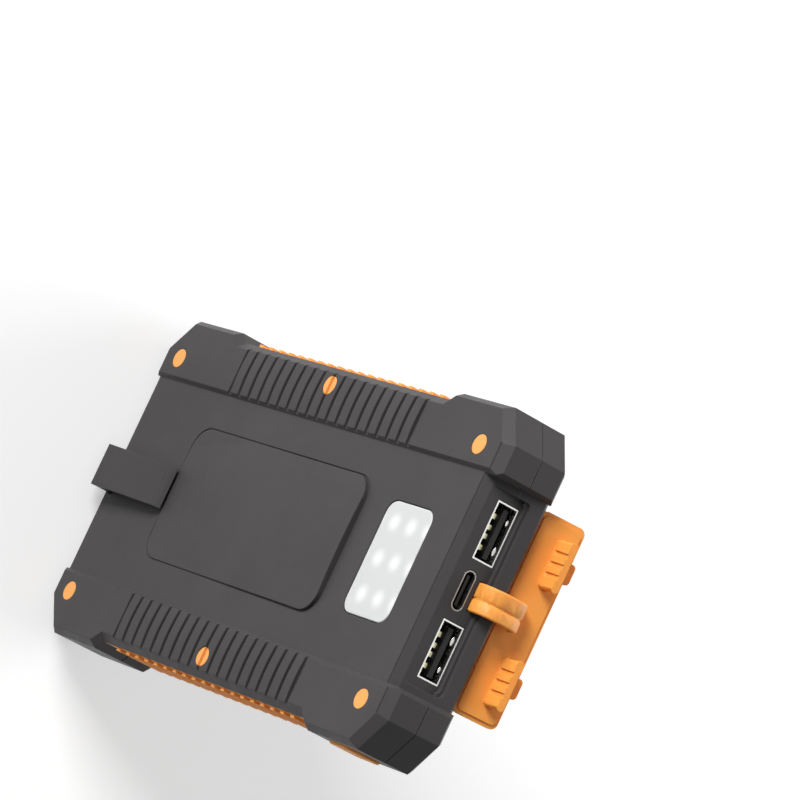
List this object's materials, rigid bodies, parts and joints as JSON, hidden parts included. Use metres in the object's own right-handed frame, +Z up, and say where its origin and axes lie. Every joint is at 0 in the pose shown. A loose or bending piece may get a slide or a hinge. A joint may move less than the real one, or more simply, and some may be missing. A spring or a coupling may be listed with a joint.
{
  "type": "solar phone charger",
  "caption": "Pocket solar battery charger with a ribbed grip case, solar panel, back lamp, covered charging sockets, power button and strap clip.",
  "frame": {"origin": "centre of the end that the charger stands on, the end away from the charging sockets, in the plane of its four corner pads' lower faces and on the parting plane of the two case halves", "axes": "+Z runs up the case towards the charging sockets, the solar panel faces -Y, the lamp and strap clip face +Y, and the power button is on the -X side"},
  "size_m": [0.0776, 0.0337, 0.1418],
  "materials": {
    "charcoal_plastic": "fine moulded grain",
    "orange_rubber": "soft matt",
    "orange_plastic": "satin",
    "seal_rubber": "matt",
    "adhesive_tape": "matt",
    "glass_fibre_board": "satin",
    "solar_backing": "satin",
    "solar_silicon": "satin",
    "silver_paste": "satin",
    "clear_film": "satin",
    "wire_insulation": "satin",
    "chip_epoxy": "matt",
    "ferrite": "matt",
    "ceramic_tan": "satin",
    "steel": "satin",
    "nickel_plate": "polished",
    "black_nylon": "satin",
    "contact_plate": "satin",
    "led_clear": "gloss",
    "frosted_plastic": "frosted",
    "aluminium_film": "satin",
    "foam": "matt"
  },
  "bodies": {
    "case": {"front_shell": "charcoal_plastic", "case_seal": "seal_rubber", "rear_shell": "charcoal_plastic", "side_grip_left": "orange_rubber", "side_grip_right": "orange_rubber", "solar_panel_tape": "adhesive_tape", "solar_backing_board": "solar_backing", "solar_cells": "solar_silicon", "solar_cell_fingers": "silver_paste", "solar_cover_sheet": "clear_film", "solar_leads": "wire_insulation", "main_board": "glass_fibre_board", "board_screws": "steel", "control_chips": "chip_epoxy", "power_inductor": "ferrite", "board_capacitors": "ceramic_tan", "usb_a_shell_left": "nickel_plate", "usb_a_shell_right": "nickel_plate", "usb_a_tongue_left": "black_nylon", "usb_a_tongue_right": "black_nylon", "usb_a_contacts": "contact_plate", "usb_c_shell": "nickel_plate", "usb_c_tongue": "black_nylon", "usb_c_riser": "black_nylon", "status_leds": "led_clear", "status_light_guide": "frosted_plastic", "switch_body": "chip_epoxy", "battery_cell": "aluminium_film", "battery_tape": "adhesive_tape", "battery_foam": "foam", "battery_protection_board": "glass_fibre_board", "battery_tabs": "steel", "battery_leads": "wire_insulation", "lamp_board": "glass_fibre_board", "lamp_leds": "led_clear", "lamp_lens": "frosted_plastic", "lamp_leads": "wire_insulation", "case_screws": "steel", "corner_plugs": "orange_plastic", "slotted_plugs": "orange_plastic", "clip_retainer": "steel", "clip_screws": "steel", "cover_tether": "orange_rubber"},
    "port_cover": {"port_cover": "orange_rubber"},
    "power_button": {"power_button": "orange_rubber", "switch_plunger": "black_nylon"},
    "strap_clip": {"strap_clip": "charcoal_plastic"}
  },
  "joints": [
    {"name": "cover_hinge", "type": "hinge", "parent": "case", "child": "port_cover", "pos_m": [0, -0.00707, 0.13676], "axis": [-1, 0, 0], "range_deg": [0, 167], "deforming": ["cover_tether"]},
    {"name": "button_press", "type": "slide", "parent": "case", "child": "power_button", "axis": [1, 0, 0], "range_m": [0, 0.0005], "stiffness_N_per_m": 2500, "springref_m": -0.0004},
    {"name": "clip_flex", "type": "hinge", "parent": "case", "child": "strap_clip", "pos_m": [0, 0.00575, 0.0036], "axis": [-1, 0, 0], "range_deg": [0, 6], "stiffness_Nm_per_rad": 0.9, "springref_deg": -2.86}
  ]
}
